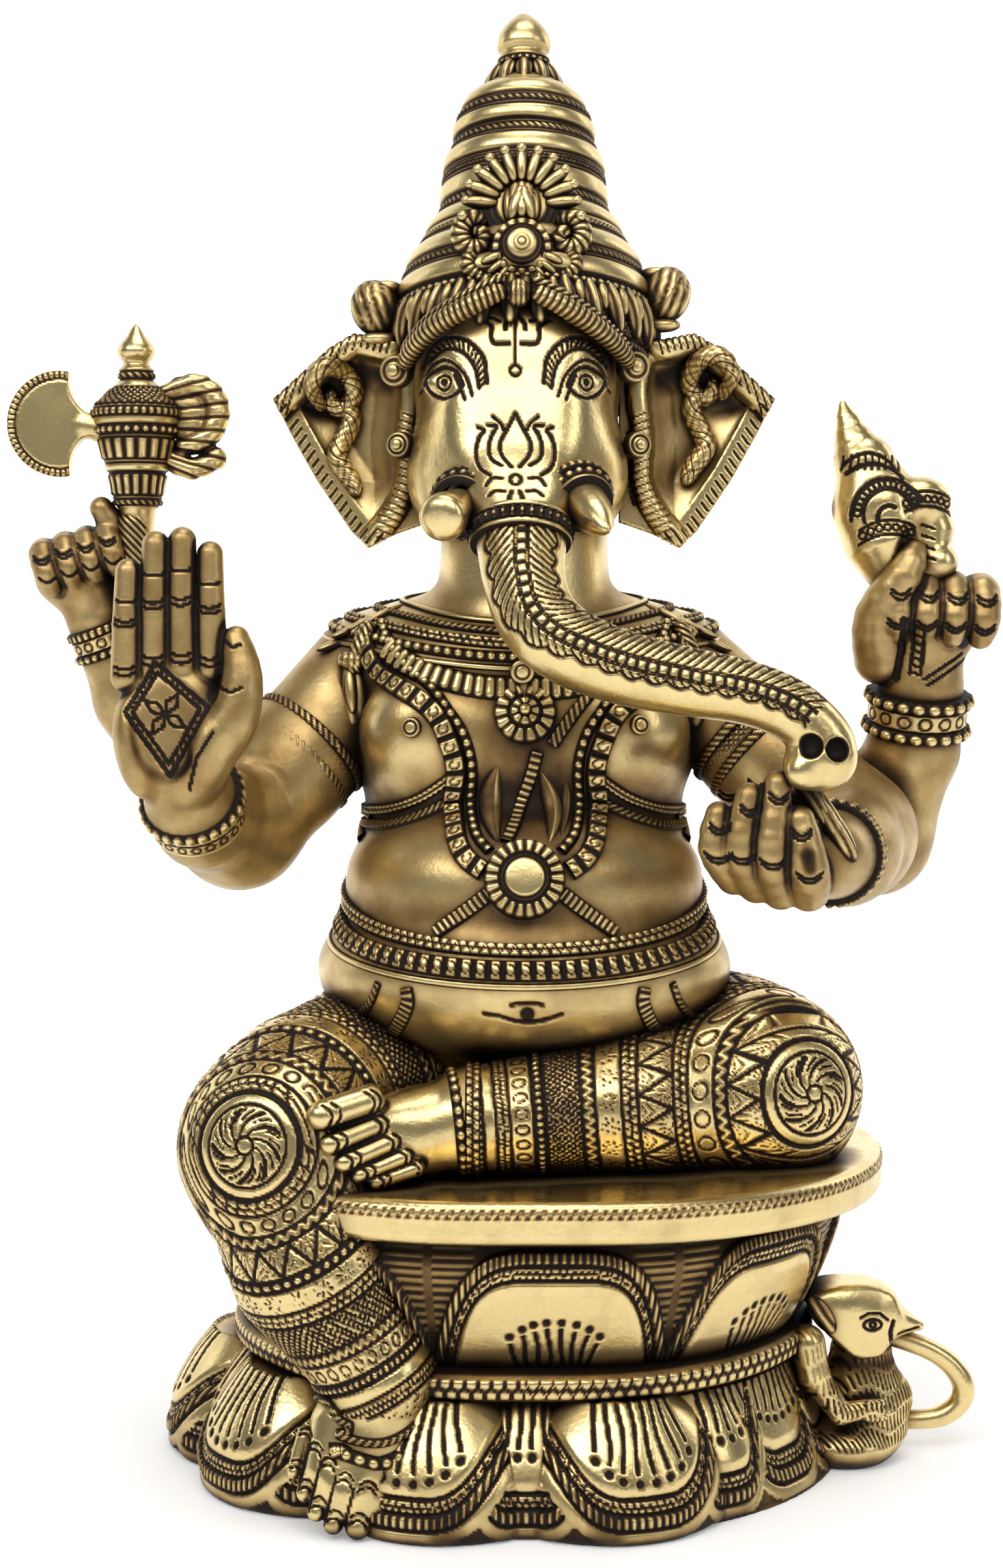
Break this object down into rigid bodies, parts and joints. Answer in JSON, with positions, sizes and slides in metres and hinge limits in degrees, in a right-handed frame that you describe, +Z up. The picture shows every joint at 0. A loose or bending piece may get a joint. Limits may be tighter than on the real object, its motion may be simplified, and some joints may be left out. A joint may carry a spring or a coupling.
{
  "type": "seated elephant-headed idol",
  "caption": "Seated four-armed elephant-headed idol in cast brass, on a two-tier lotus throne with a mouse at its side.",
  "frame": {"origin": "centre of the object's bounding box in plan, on the plane it rests on", "axes": "+Z up; -Y is the way the idol faces; +X is towards the idol's left hand, where the mouse stands"},
  "size_m": [0.2382, 0.1486, 0.3538],
  "materials": {
    "polished_brass": "hand-polished cast brass, yellow gold on the high places with a dark brown patina in the recesses",
    "chased_brass": "chased cast brass, bright on the raised work over a dark brown patina"
  },
  "bodies": {
    "root": {"lotus_base": "polished_brass", "lotus_rope_band": "chased_brass", "lotus_drum": "polished_brass", "seat_slab": "polished_brass", "mouse_body": "polished_brass", "mouse_head": "polished_brass", "mouse_ears": "polished_brass", "mouse_tail": "polished_brass", "right_thigh": "polished_brass", "right_shin": "polished_brass", "right_foot": "polished_brass", "left_thigh": "polished_brass", "left_shin": "polished_brass", "left_foot": "polished_brass", "anklets": "chased_brass", "torso": "polished_brass", "waist_belt": "chased_brass", "chest_band": "chased_brass", "collar_necklace": "chased_brass", "garland_chain": "chased_brass", "chest_pendant": "chased_brass", "belly_medallion": "chased_brass", "sacred_cords": "chased_brass", "shoulder_tassels": "chased_brass", "right_upper_arm": "polished_brass", "right_forearm": "polished_brass", "blessing_hand": "polished_brass", "right_bangle": "chased_brass", "right_rear_arm": "polished_brass", "right_rear_hand": "polished_brass", "right_rear_bangle": "chased_brass", "axe": "polished_brass", "left_upper_arm": "polished_brass", "left_forearm": "polished_brass", "offering_hand": "polished_brass", "left_bangle": "chased_brass", "sweet": "chased_brass", "left_rear_arm": "polished_brass", "left_rear_hand": "polished_brass", "left_rear_bangle": "chased_brass", "conch": "polished_brass", "armlets": "chased_brass", "head": "polished_brass", "trunk": "polished_brass", "trunk_ring": "chased_brass", "right_tusk": "polished_brass", "left_tusk": "polished_brass", "tusk_collars": "chased_brass", "right_ear": "polished_brass", "left_ear": "polished_brass", "ear_scrolls": "chased_brass", "ear_rosettes": "chased_brass", "temple_studs": "chased_brass", "brow_band": "chased_brass", "crown_cap": "polished_brass", "crown_tiers": "polished_brass", "crown_finial": "polished_brass", "crown_plaque": "chased_brass", "crown_wheel": "polished_brass"}
  },
  "joints": []
}
